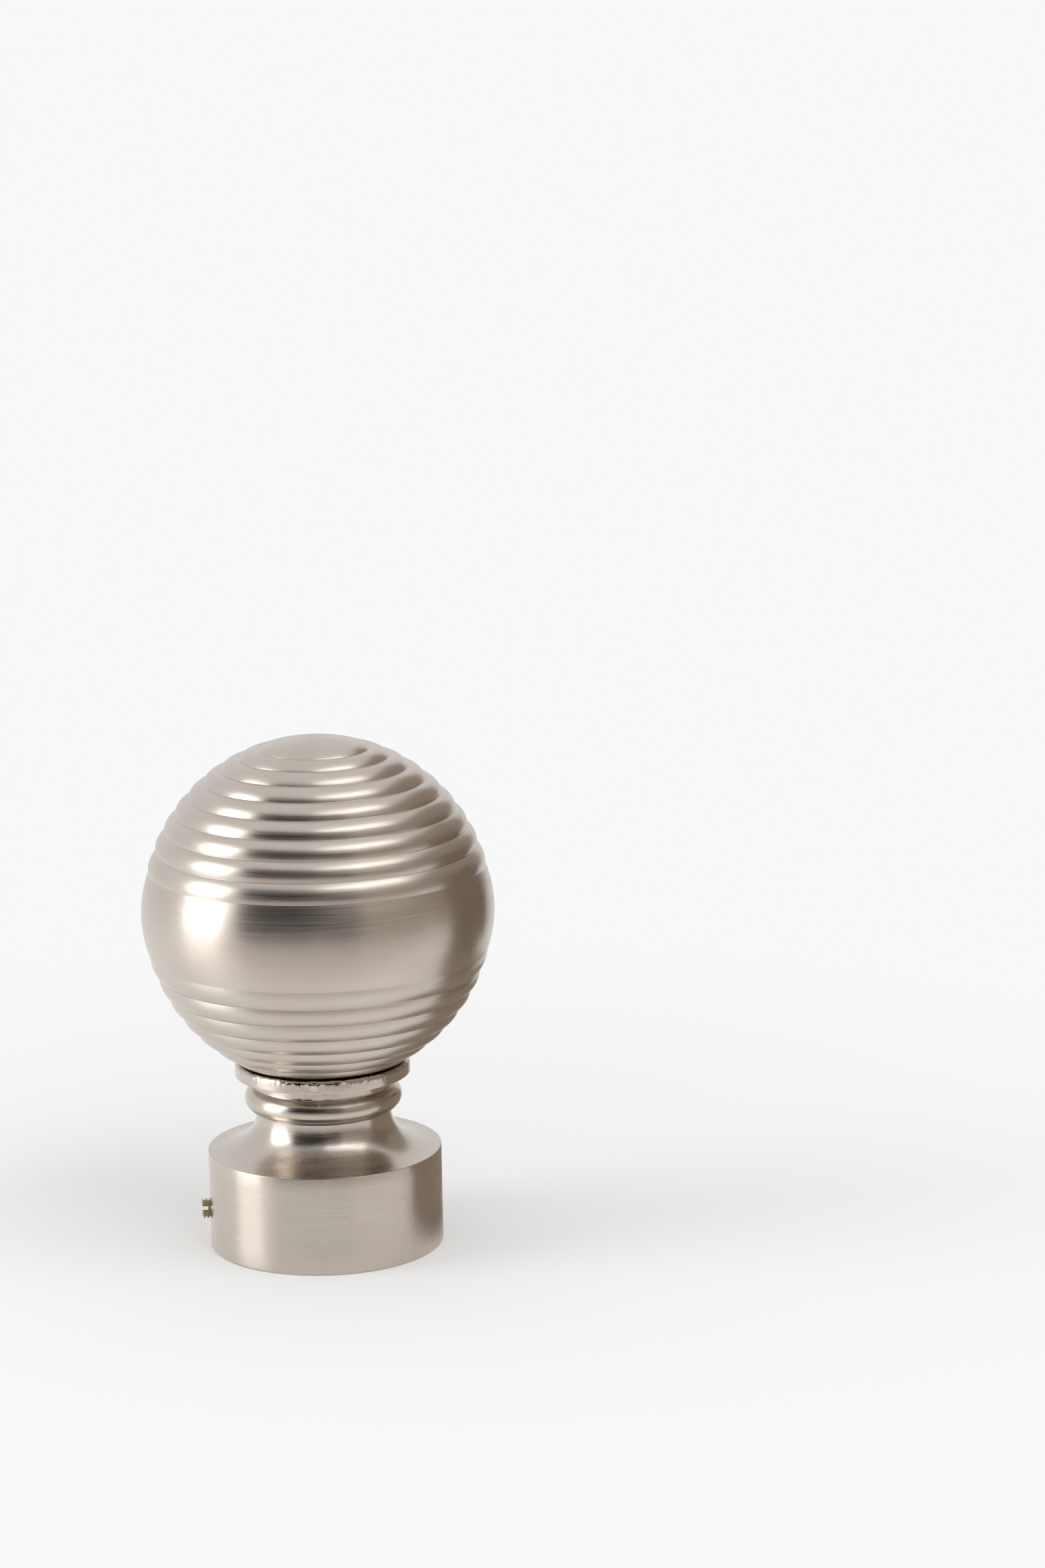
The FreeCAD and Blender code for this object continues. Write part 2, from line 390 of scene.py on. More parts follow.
@dataclass(frozen=True)
class TurnedMetal:
    """Nickel brushed round the axis: fine rings of scratches that draw each highlight out across them.

    The rings break up the gloss in thin lines, a slow mottle keeps broad faces from looking even, and a few
    pits show as small dark points. Where a piece says that it was left as cast, the plate is bright and has
    no rings.
    """

    name: str
    colour: str = "CCC4BC"
    deep_colour: str = "C4BAAF"
    smooth: float = 0.26
    rough: float = 0.36
    # How far highlights are drawn out, and their turn from the rings as a share of a full turn
    stretch: float = 0.55
    stretch_turn: float = 0.25
    # Real scratches are too fine to show in the render, so the rings are drawn this wide
    ring_width: float = 0.3 * MM
    ring_depth: float = 0.005 * MM
    # How far round the axis a scratch runs, in radians: about 21 mm on the ball's band and 14 mm on the cup
    ring_run: float = 0.625
    ring_layers: float = 3.0
    ring_fineness: float = 0.6
    ring_level: float = 0.5
    mottle_size: float = 9.0 * MM
    mottle_layers: float = 2.0
    mottle_fineness: float = 0.5
    pit_spacing: float = 5.0 * MM
    pit_share: float = 0.035
    pit_colour: str = "6E655C"
    bare_gloss: float = 0.13
    middle_z: float = 0.0

    def build(self) -> bpy.types.Material:
        """Makes the material.

        Returns:
            The material.
        """
        material = new_material(self.name)
        tree = material.node_tree
        place = add_node(tree, "ShaderNodeTexCoord").outputs["Object"]
        parts = add_node(tree, "ShaderNodeSeparateXYZ", {0: place})
        level = add_node(
            tree, "ShaderNodeCombineXYZ", {"X": parts.outputs["X"], "Y": parts.outputs["Y"]}
        ).outputs[0]
        rings = self.add_rings(tree, level, parts.outputs["Z"])
        pits = self.add_pits(tree, place)
        bare = add_node(tree, "ShaderNodeAttribute", attribute_name=BARE).outputs["Fac"]
        brushed_gloss = add_node(
            tree,
            "ShaderNodeMapRange",
            {
                "Value": rings,
                "From Min": NOISE_LOW,
                "From Max": NOISE_HIGH,
                "To Min": self.smooth,
                "To Max": self.rough,
            },
        )
        gloss = add_node(
            tree,
            "ShaderNodeMix",
            {MIX_SHARE: bare, MIX_FIRST: brushed_gloss.outputs[0], MIX_SECOND: self.bare_gloss},
        )
        brushed = add_node(
            tree, "ShaderNodeMix", {MIX_SHARE: bare, MIX_FIRST: rings, MIX_SECOND: self.ring_level}
        )
        relief = add_node(tree, "ShaderNodeMath", {0: brushed.outputs[0], 1: pits}, operation="SUBTRACT")
        bump = add_node(
            tree,
            "ShaderNodeBump",
            {"Height": relief.outputs[0], "Strength": 1.0, "Distance": self.ring_depth},
        )
        grain = add_node(tree, "ShaderNodeVectorMath", {0: AXIS, 1: level}, operation="CROSS_PRODUCT")
        tangent = add_node(tree, "ShaderNodeVectorMath", {0: grain.outputs[0]}, operation="NORMALIZE")
        shader = add_node(
            tree,
            "ShaderNodeBsdfPrincipled",
            {
                "Base Color": self.add_colour(tree, place, pits),
                "Metallic": 1.0,
                "Roughness": gloss.outputs[0],
                "Anisotropic": self.stretch,
                "Anisotropic Rotation": self.stretch_turn,
                "Normal": bump.outputs[0],
                "Tangent": tangent.outputs[0],
            },
        )
        add_node(tree, "ShaderNodeOutputMaterial", {"Surface": shader.outputs[0]})
        return material

    def add_rings(
        self, tree: bpy.types.NodeTree, level: bpy.types.NodeSocket, height: bpy.types.NodeSocket
    ) -> bpy.types.NodeSocket:
        """Adds the rings: noise that is stretched round the axis and narrow along the section.

        Args:
            tree: The node tree.
            level: The place on the piece, seen along the axis.
            height: The height of the place.

        Returns:
            The socket with the noise.
        """
        radius = add_node(tree, "ShaderNodeVectorMath", {0: level}, operation="LENGTH")
        rise = add_node(tree, "ShaderNodeMath", {0: height, 1: self.middle_z}, operation="SUBTRACT")
        reach = add_node(tree, "ShaderNodeMath", {0: rise.outputs[0]}, operation="ABSOLUTE")
        run = add_node(
            tree, "ShaderNodeMath", {0: reach.outputs[0], 1: radius.outputs["Value"]}, operation="SUBTRACT"
        )
        around = add_node(tree, "ShaderNodeVectorMath", {0: level}, operation="NORMALIZE")
        turn = add_node(tree, "ShaderNodeSeparateXYZ", {0: around.outputs[0]})
        spot = add_node(
            tree,
            "ShaderNodeCombineXYZ",
            {"X": turn.outputs["X"], "Y": turn.outputs["Y"], "Z": run.outputs[0]},
        )
        scale = (1 / self.ring_run, 1 / self.ring_run, 1 / self.ring_width)
        scaled = add_node(tree, "ShaderNodeVectorMath", {0: spot.outputs[0], 1: scale}, operation="MULTIPLY")
        rings = add_node(
            tree,
            "ShaderNodeTexNoise",
            {
                "Vector": scaled.outputs[0],
                "Scale": 1.0,
                "Detail": self.ring_layers,
                "Roughness": self.ring_fineness,
            },
        )
        return rings.outputs["Fac"]

    def add_pits(self, tree: bpy.types.NodeTree, place: bpy.types.NodeSocket) -> bpy.types.NodeSocket:
        """Adds the few scattered pits.

        Args:
            tree: The node tree.
            place: The place on the piece.

        Returns:
            The socket that is 1 in a pit and 0 beside it.
        """
        cells = add_node(tree, "ShaderNodeTexVoronoi", {"Vector": place, "Scale": 1 / self.pit_spacing})
        pit = add_node(
            tree,
            "ShaderNodeMapRange",
            {"Value": cells.outputs["Distance"], "From Min": self.pit_share, "From Max": 0.0},
            interpolation_type="SMOOTHSTEP",
        )
        return pit.outputs[0]

    def add_colour(
        self, tree: bpy.types.NodeTree, place: bpy.types.NodeSocket, pits: bpy.types.NodeSocket
    ) -> bpy.types.NodeSocket:
        """Adds the metal's colour with its mottle and its dark pits.

        Args:
            tree: The node tree.
            place: The place on the piece.
            pits: The socket that is 1 in a pit and 0 beside it.

        Returns:
            The socket with the colour.
        """
        mottle = add_node(
            tree,
            "ShaderNodeTexNoise",
            {
                "Vector": place,
                "Scale": 1 / self.mottle_size,
                "Detail": self.mottle_layers,
                "Roughness": self.mottle_fineness,
            },
        )
        metal = add_node(
            tree,
            "ShaderNodeMix",
            {
                MIX_SHARE: mottle.outputs["Fac"],
                MIX_FIRST_COLOUR: linear(self.colour),
                MIX_SECOND_COLOUR: linear(self.deep_colour),
            },
            data_type="RGBA",
        )
        pitted = add_node(
            tree,
            "ShaderNodeMix",
            {
                MIX_SHARE: pits,
                MIX_FIRST_COLOUR: metal.outputs[MIX_COLOUR],
                MIX_SECOND_COLOUR: linear(self.pit_colour),
            },
            data_type="RGBA",
        )
        return pitted.outputs[MIX_COLOUR]


@dataclass(frozen=True)
class PlainMetal:
    """Plated metal that wasn't brushed: even gloss with a fine grain."""

    name: str
    colour: str
    roughness: float
    # A real plate's grain is too fine to show in the render, so it is drawn this wide
    grain_size: float = 0.25 * MM
    grain_depth: float = 0.004 * MM
    grain_layers: float = 3.0
    smooth_share: float = 0.8
    rough_share: float = 1.25

    def build(self) -> bpy.types.Material:
        """Makes the material.

        Returns:
            The material.
        """
        material = new_material(self.name)
        tree = material.node_tree
        place = add_node(tree, "ShaderNodeTexCoord").outputs["Object"]
        grain = add_node(
            tree,
            "ShaderNodeTexNoise",
            {"Vector": place, "Scale": 1 / self.grain_size, "Detail": self.grain_layers},
        )
        gloss = add_node(
            tree,
            "ShaderNodeMapRange",
            {
                "Value": grain.outputs["Fac"],
                "From Min": NOISE_LOW,
                "From Max": NOISE_HIGH,
                "To Min": self.roughness * self.smooth_share,
                "To Max": self.roughness * self.rough_share,
            },
        )
        bump = add_node(
            tree,
            "ShaderNodeBump",
            {"Height": grain.outputs["Fac"], "Strength": 1.0, "Distance": self.grain_depth},
        )
        shader = add_node(
            tree,
            "ShaderNodeBsdfPrincipled",
            {
                "Base Color": linear(self.colour),
                "Metallic": 1.0,
                "Roughness": gloss.outputs[0],
                "Normal": bump.outputs[0],
            },
        )
        add_node(tree, "ShaderNodeOutputMaterial", {"Surface": shader.outputs[0]})
        return material


# Nickel on spun steel, brushed fine: soft and warm, with highlights that run across the rings
SATIN_NICKEL = TurnedMetal("satin_nickel_ball", ring_depth=0.0045 * MM)

# Nickel plate on a zinc casting, brushed: glossier than the ball, with rings that show more
BRUSHED_PLATE = TurnedMetal("brushed_nickel_plate", smooth=0.19, rough=0.31, ring_depth=0.007 * MM)

# Nickel plate on a zinc casting as it left the die: dull and grainy
RAW_PLATE = PlainMetal(
    "raw_cast_plate", colour="A8A29B", roughness=0.42, grain_size=0.7 * MM, grain_depth=0.03 * MM
)

# Aged plate on the steel of the grub screw: yellowed and half dull
YELLOWED_PLATE = PlainMetal("yellowed_plate", colour="B7A88E", roughness=0.34)

# Zinc plate on the steel of the fixing screw and its nut: cool, with a soft gloss
ZINC_PLATE = PlainMetal("zinc_plate", colour="B4B6B8", roughness=0.3)


@dataclass
class RibbedBall:
    """The hollow ball: a smooth band, ribs with narrow grooves above and below it, a domed cap, a flat base.

    In each half the ribs and the grooves are counted from the band, and groove 0 is the band's own edge.
    """

    band_radius: float
    base_z: float
    top_z: float

    # Drops, swells and cuts are measured towards the ball's centre, and angles are in degrees
    rib_crest_drop: float = 0.28 * MM
    upper_rib_swell: float = 0.53 * MM
    lower_rib_swell: float = 0.46 * MM
    groove_width: float = 0.24 * MM
    upper_groove_cut: float = 0.1 * MM
    lower_groove_cut: float = 0.06 * MM
    upper_band_drop: float = 0.57 * MM
    lower_band_drop: float = 0.44 * MM
    band_half_angle: float = 14.35
    rib_angle: float = 7.12
    upper_ribs: int = 8
    lower_ribs: int = 7
    cap_drop: float = 0.07 * MM
    base_edge_drop: float = 0.92 * MM
    base_step: float = 2.35 * MM
    base_round_width: float = 3.2 * MM
    wall: float = 0.6 * MM
    base_wall: float = 1.0 * MM
    hole_radius: float = 3.3 * MM
    edge_round: float = 0.06 * MM

    @classmethod
    def from_frame(cls) -> "RibbedBall":
        """The ball as large and as high as its CAD node, less a hair."""
        low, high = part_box("ball_shell")
        return cls(band_radius=min(high.x, high.y) - SKIN, base_z=low.z, top_z=high.z - SKIN)

    @property
    def rib_radius(self) -> float:
        """The distance from the ball's centre to the crest of a rib."""
        return self.band_radius - self.rib_crest_drop

    @property
    def centre(self) -> Vector:
        """The ball's centre."""
        return on_section(0.0, self.top_z - self.rib_radius + self.cap_drop)

    @property
    def base_edge(self) -> Vector:
        """The point where the last rib meets the round edge of the base."""
        latitude = self.band_half_angle + self.lower_ribs * self.rib_angle
        return self.at(self.rib_radius - self.base_edge_drop, -latitude)

    def at(self, radius: float, latitude: float) -> Vector:
        """The point of the half section at a distance from the ball's centre and a latitude in degrees."""
        turn = math.radians(latitude)
        return self.centre + on_section(math.cos(turn), math.sin(turn)) * radius

    def edge_radius(self, half: Half) -> float:
        """The distance from the ball's centre to the edges of the grooves in a half."""
        return self.rib_radius - (self.upper_rib_swell if half is Half.UPPER else self.lower_rib_swell)

    def groove(self, step: int, half: Half) -> Vector:
        """The bottom of a groove.

        Args:
            step: The groove's number.
            half: The half of the ball that it lies in.

        Returns:
            The point of the half section.
        """
        upper = half is Half.UPPER
        if step == 0:
            radius = self.band_radius - (self.upper_band_drop if upper else self.lower_band_drop)
        else:
            radius = self.edge_radius(half) - (self.upper_groove_cut if upper else self.lower_groove_cut)
        return self.at(radius, half.value * (self.band_half_angle + step * self.rib_angle))

    def groove_edge(self, step: int, half: Half, flank: Flank) -> Vector:
        """The edge of a groove.

        Args:
            step: The groove's number.
            half: The half of the ball that it lies in.
            flank: The side of the groove.

        Returns:
            The point of the half section.
        """
        half_width = math.degrees(self.groove_width / 2 / self.rib_radius)
        latitude = self.band_half_angle + step * self.rib_angle + flank.value * half_width
        return self.at(self.edge_radius(half), half.value * latitude)

    def build(self) -> bpy.types.Object:
        """Turns the ball.

        Returns:
            The object.
        """
        flat_end = on_section(self.base_edge.x - self.base_round_width, self.base_z)
        base_round = (self.base_round_width ** 2 + self.base_step ** 2) / (2 * self.base_step)
        band_top = self.groove(0, Half.UPPER)
        band = centre_through(self.groove(0, Half.LOWER), self.at(self.band_radius, 0.0), band_top)

        section = HalfSection(on_section(self.hole_radius, self.base_z))
        section.line(flat_end)
        corners = [section.arc(flat_end + on_section(0.0, base_round), self.base_edge, Bend.CREST)]
        for step in reversed(range(self.lower_ribs)):
            corners += self.draw_rib(section, step, Half.LOWER)
        corners.append(section.arc(band, band_top, Bend.CREST))
        for step in range(self.upper_ribs):
            corners += self.draw_rib(section, step, Half.UPPER)
        corners.append(self.draw_cap(section))
        self.draw_hollow(section)
        section.soften(corners, self.edge_round)
        item = new_object("ribbed_ball", section.turned(TURN_STEPS))
        stand_in(item, "ball_shell", "finial")
        return item

    def draw_rib(self, section: HalfSection, step: int, half: Half) -> list[BMVert]:
        """Draws a rib upwards, from the bottom of the groove below it to the bottom of the groove above it.

        Args:
            section: The ball's section, drawn as far as the groove below.
            step: The rib's number.
            half: The half of the ball that it lies in.

        Returns:
            The corners to round: the edges of the rib's grooves and the bottom of the groove above it.
        """
        grooves = [self.groove(step, half), self.groove(step + 1, half)]
        ends = [self.groove_edge(step, half, Flank.FAR), self.groove_edge(step + 1, half, Flank.NEAR)]
        if step == 0:
            ends[0] = grooves[0]
        if half is Half.LOWER and step == self.lower_ribs - 1:
            grooves[1] = self.base_edge
            ends[1] = self.base_edge
        crest = self.at(self.rib_radius, half.value * (self.band_half_angle + (step + 0.5) * self.rib_angle))
        below, above = grooves[::half.value]
        start, end = ends[::half.value]
        corners = []
        if start != below:
            corners.append(section.line(start))
        corners.append(section.arc(centre_through(start, crest, end), end, Bend.CREST))
        if end != above:
            corners.append(section.line(above))
        return corners

    def draw_cap(self, section: HalfSection) -> BMVert:
        """Draws the cap: the side of the last groove, half a rib and the dome.

        Args:
            section: The ball's section, drawn as far as the last groove.

        Returns:
            The corner to round, at the groove's edge.
        """
        start = self.groove_edge(self.upper_ribs, Half.UPPER, Flank.FAR)
        end = self.groove_edge(self.upper_ribs + 1, Half.UPPER, Flank.NEAR)
        cap_radius = self.rib_radius - self.cap_drop
        crest = self.at(cap_radius, self.band_half_angle + (self.upper_ribs + 0.5) * self.rib_angle)
        corner = section.line(start)
        section.arc(centre_through(start, crest, end), crest, Bend.CREST)
        section.arc(self.centre, self.at(cap_radius, POLE), Bend.CREST)
        return corner

    def draw_hollow(self, section: HalfSection) -> None:
        """Draws the ball's inside: a round hollow, a flat floor and the hole for the fixing screw.

        Args:
            section: The ball's section, drawn as far as the top of the cap.
        """
        hollow = self.rib_radius - self.base_edge_drop - self.wall
        floor_z = self.base_z + self.base_wall
        floor_end = math.sqrt(hollow ** 2 - (self.centre.z - floor_z) ** 2)
        section.move(self.at(hollow, POLE))
        section.arc(self.centre, self.at(hollow, 0.0), Bend.VALLEY)
        section.arc(self.centre, on_section(floor_end, floor_z), Bend.VALLEY)
        section.line(on_section(self.hole_radius, floor_z))
        section.line(on_section(self.hole_radius, self.base_z))

    def dress(self, item: bpy.types.Object) -> None:
        """Gives the ball its satin nickel, with rings that run evenly from its middle."""
        finish = replace(SATIN_NICKEL, middle_z=self.centre.z)
        item.data.materials.append(finish.build())


@dataclass(frozen=True)
class SeamMark:
    """A stretch of the casting's seam that still stands proud, between two heights."""

    low: float
    high: float
    height: float


@dataclass
class SocketCasting:
    """The cast socket: cup, hollow shoulder, waist, bead, step ring and collar, with the pole's bore inside.

    Its seam runs up the front and the back. By the seam the lip, the collar and the step ring were left as
    cast, with crinkles, and a ragged flash stands where the lip's round begins.
    """

    cup_radius: float
    lip_z: float
    bore_radius: float = 18.0 * MM
    cup_height: float = 19.0 * MM
    socket_depth: float = 17.0 * MM
    rim_round: float = 0.4 * MM
    shoulder_height: float = 7.1 * MM
    waist_radius: float = 13.0 * MM
    waist_height: float = 0.7 * MM
    bead_radius: float = 15.15 * MM
    bead_round: float = 2.4 * MM
    step_radius: float = 13.3 * MM
    step_height: float = 2.25 * MM
    pocket_floor: float = 0.6 * MM
    pocket_radius: float = 14.71 * MM
    collar_radius: float = 16.86 * MM
    collar_round: float = 0.75 * MM
    fixing_hole_radius: float = 3.3 * MM
    recess_radius: float = 7.0 * MM
    fixing_web: float = 8.4 * MM
    edge_round: float = 0.12 * MM
    crease_round: float = 0.22 * MM
    clamp_hole_radius: float = 2.0 * MM
    clamp_height: float = 7.0 * MM
    countersink: float = 0.35 * MM

    # The rows of faces up the cup, on each face that was left as cast and under the collar
    cup_rows: int = 6
    cast_rows: int = 4
    ledge_rows: int = 3

    # The turn that the front seam lies at, and how far round from it the plate was left as cast, in degrees,
    # with the shares by which that reach is ragged and the bare plate fades
    seam_turn: float = 265.5
    lip_bare_reach: float = 105.0
    collar_bare_reach: float = 16.0
    step_bare_reach: float = 30.0
    bare_ragged: float = 0.35
    bare_fade: float = 1.5

    # The crinkles of the bare plate and the flash
    wave_length: float = 1.6 * MM
    wave_rise: float = 0.6 * MM
    lip_wave_height: float = 0.19 * MM
    side_wave_height: float = 0.09 * MM
    wave_layers: int = 2
    wave_level: float = 0.5
    flash_length: float = 0.8 * MM
    flash_height: float = 0.26 * MM

    @classmethod
    def from_frame(cls) -> "SocketCasting":
        """The casting as wide and as high as its CAD node."""
        _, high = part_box("socket_casting")
        return cls(cup_radius=min(high.x, high.y), lip_z=high.z)

    @property
    def waist_z(self) -> float:
        """The height where the shoulder ends and the waist begins."""
        return self.cup_height + self.shoulder_height

    @property
    def bead_centre(self) -> Vector:
        """The centre of the bead's round edge.

        Returns:
            The point of the half section.
        """
        across = self.bead_radius - self.bead_round
        rise = math.sqrt(self.bead_round ** 2 - (self.waist_radius - across) ** 2)
        return on_section(across, self.waist_z + self.waist_height + rise)

    @property
    def bead_top(self) -> Vector:
        """The point of the half section where the bead meets the step ring."""
        rise = math.sqrt(self.bead_round ** 2 - (self.step_radius - self.bead_centre.x) ** 2)
        return on_section(self.step_radius, self.bead_centre.z + rise)

    @property
    def collar_z(self) -> float:
        """The height of the collar's lower edge."""
        return self.bead_top.z + self.step_height

    @property
    def pocket_z(self) -> float:
        """The height of the floor that the ball sits on."""
        return self.collar_z + self.pocket_floor

    @property
    def flash_z(self) -> float:
        """The height where the collar's side ends and the lip's round begins."""
        return self.lip_z - self.collar_round

    @property
    def seam_marks(self) -> tuple[SeamMark, ...]:
        """What is left of the seam: on the shoulder's foot, on the bead and from step ring to lip."""
        bead_z = self.bead_centre.z
        return (
            SeamMark(low=self.cup_height + 0.05 * MM, high=self.cup_height + 0.8 * MM, height=0.035 * MM),
            SeamMark(low=bead_z - 0.3 * MM, high=bead_z + 0.3 * MM, height=0.04 * MM),
            SeamMark(low=self.bead_top.z - 0.1 * MM, high=self.lip_z - 0.1 * MM, height=0.08 * MM),
        )

    def build(self) -> bpy.types.Object:
        """Turns the casting, crinkles what was left as cast and cuts the grub screw's hole.

        Returns:
            The object.
        """
        seat_z = self.pocket_z - self.fixing_web
        rim_centre = on_section(self.cup_radius - self.rim_round, self.rim_round)
        lip_centre = on_section(self.collar_radius - self.collar_round, self.flash_z)

        section = HalfSection(on_section(self.bore_radius, 0.0))
        edges = [section.tip]
        section.line(rim_centre - on_section(0.0, self.rim_round))
        section.arc(rim_centre, on_section(self.cup_radius, self.rim_round), Bend.CREST)
        edges.append(section.line(on_section(self.cup_radius, self.cup_height), self.cup_rows))
        self.draw_shoulder(section)
        creases = [section.line(on_section(self.waist_radius, self.waist_z + self.waist_height))]
        section.arc(self.bead_centre, self.bead_centre + on_section(self.bead_round, 0.0), Bend.CREST)
        creases.append(section.arc(self.bead_centre, self.bead_top, Bend.CREST))
        creases.append(section.line(on_section(self.step_radius, self.collar_z), self.cast_rows))
        edges.append(section.line(on_section(self.collar_radius, self.collar_z), self.ledge_rows))
        section.line(lip_centre + on_section(self.collar_round, 0.0), self.cast_rows)
        section.arc(lip_centre, lip_centre + on_section(0.0, self.collar_round), Bend.CREST)
        edges.append(section.line(on_section(self.pocket_radius, self.lip_z), self.cast_rows))
        section.line(on_section(self.pocket_radius, self.pocket_z))
        section.line(on_section(self.fixing_hole_radius, self.pocket_z))
        section.line(on_section(self.fixing_hole_radius, seat_z))
        section.line(on_section(self.recess_radius, seat_z))
        section.line(on_section(self.recess_radius, self.socket_depth))
        section.line(on_section(self.bore_radius, self.socket_depth))
        section.line(on_section(self.bore_radius, 0.0))
        bmesh.ops.remove_doubles(section.mesh, verts=section.mesh.verts, dist=WELD)
        section.soften([corner for corner in edges if corner.is_valid], self.edge_round)
        section.soften([corner for corner in creases if corner.is_valid], self.crease_round)
        mesh = section.turned(CAST_TURN_STEPS)
        self.leave_as_cast(mesh)
        item = new_object("cast_socket", mesh)
        cut_away(item, self.clamp_hole())
        stand_in(item, "socket_casting", "finial")
        return item

    def draw_shoulder(self, section: HalfSection) -> None:
        """Draws the hollow shoulder from the cup's top edge to the waist, a quarter of an ellipse.

        Args:
            section: The casting's section, drawn as far as the cup's top edge.
        """
        reach = self.cup_radius - self.waist_radius
        squeeze = self.shoulder_height / reach
        start = section.tip
        known = set(section.mesh.verts)
        centre = on_section(self.cup_radius, self.cup_height + reach)
        section.arc(centre, on_section(self.waist_radius, centre.z), Bend.VALLEY)
        fresh = [corner for corner in section.mesh.verts if corner not in known]
        bmesh.ops.scale(
            section.mesh, vec=(1.0, 1.0, squeeze), space=Matrix.Translation(-start.co), verts=fresh
        )

    def off_seam(self, place: Vector) -> float:
        """How far round a point lies, in degrees, from the nearer of the two seams."""
        turn = math.degrees(math.atan2(place.y, place.x)) - self.seam_turn
        return abs(math.remainder(turn, HALF_TURN))

    def on_lip(self, place: Vector) -> bool:
        """Whether a point of the collar's outside lies on the lip."""
        return place.z > self.flash_z - WELD

    def bareness(self, place: Vector) -> float:
        """How far the plate at a point was left as cast.

        Args:
            place: A point on the casting's outside.

        Returns:
            A share from 0, where it was brushed, to 1.
        """
        if place.z < self.bead_top.z or place.xy.length < self.step_radius - self.crease_round:
            return 0.0
        if self.on_lip(place):
            reach = self.lip_bare_reach
        elif place.z > self.collar_z:
            reach = self.collar_bare_reach
        else:
            reach = self.step_bare_reach
        ragged = 1.0 + self.bare_ragged * noise.noise(place / self.wave_length)
        share = self.bare_fade - self.bare_fade * self.off_seam(place) / (reach * ragged)
        return min(1.0, max(0.0, share))

    def seam_height(self, height: float) -> float:
        """How far the seam stands proud at a height."""
        return max((mark.height for mark in self.seam_marks if mark.low < height < mark.high), default=0.0)

    def leave_as_cast(self, mesh: BMesh) -> None:
        """Raises the crinkles of the bare plate, the ragged flash round the lip and the rest of the seam.

        Args:
            mesh: The turned casting.
        """
        mesh.normal_update()
        half_step = math.degrees(math.pi / CAST_TURN_STEPS)
        stretch = Matrix.Diagonal((1 / self.wave_length, 1 / self.wave_length, 1 / self.wave_rise))
        for corner in mesh.verts:
            place = corner.co.copy()
            bare = self.bareness(place)
            wave_height = self.lip_wave_height if self.on_lip(place) else self.side_wave_height
            wave = noise.turbulence(stretch @ place, self.wave_layers, True) - self.wave_level
            lift = bare * wave_height * wave
            if abs(place.z - self.flash_z) < WELD and place.xy.length > self.pocket_radius:
                lift += bare * self.flash_height * max(0.0, noise.noise(place / self.flash_length))
            if self.off_seam(place) < half_step and place.xy.length > self.waist_radius:
                lift += self.seam_height(place.z)
            corner.co += corner.normal * lift

    def clamp_hole(self) -> BMesh:
        """The shape of the grub screw's hole: a plain hole through the cup's wall, countersunk outside.

        Returns:
            The closed shape, in its place.
        """
        wall = self.cup_radius - self.bore_radius
        outer_end = self.cup_radius + wall
        section = HalfSection(on_section(0.0, self.bore_radius - wall))
        section.line(on_section(self.clamp_hole_radius, self.bore_radius - wall))
        section.line(on_section(self.clamp_hole_radius, self.cup_radius - self.countersink))
        section.line(on_section(self.clamp_hole_radius + self.countersink + wall, outer_end))
        section.line(on_section(0.0, outer_end))
        tool = section.turned(HOLE_STEPS)
        across = Matrix.Translation(AXIS * self.clamp_height) @ Matrix.Rotation(-math.pi / 2, 4, "Y")
        bmesh.ops.transform(tool, matrix=across, verts=tool.verts)
        return tool

    def is_inside(self, place: Vector) -> bool:
        """Whether a point lies in the bore, in the recess for the fixing screw or in the ball's pocket.

        Args:
            place: A point on the casting.

        Returns:
            Whether it does.
        """
        radius = place.xy.length - WELD
        in_bore = radius < self.bore_radius and WELD < place.z < self.socket_depth + WELD
        in_pocket = radius < self.pocket_radius and place.z > self.pocket_z - WELD
        return in_bore or in_pocket or radius < self.recess_radius

    def dress(self, item: bpy.types.Object) -> None:
        """Gives the casting its brushed nickel plate, bright where it was left as cast and dull inside.

        Args:
            item: The casting.
        """
        item.data.materials.append(BRUSHED_PLATE.build())
        item.data.materials.append(RAW_PLATE.build())
        for face in item.data.polygons:
            face.material_index = int(self.is_inside(face.center))
        share = item.data.attributes.new(BARE, "FLOAT", "POINT")
        share.data.foreach_set("value", [self.bareness(corner.co) for corner in item.data.vertices])


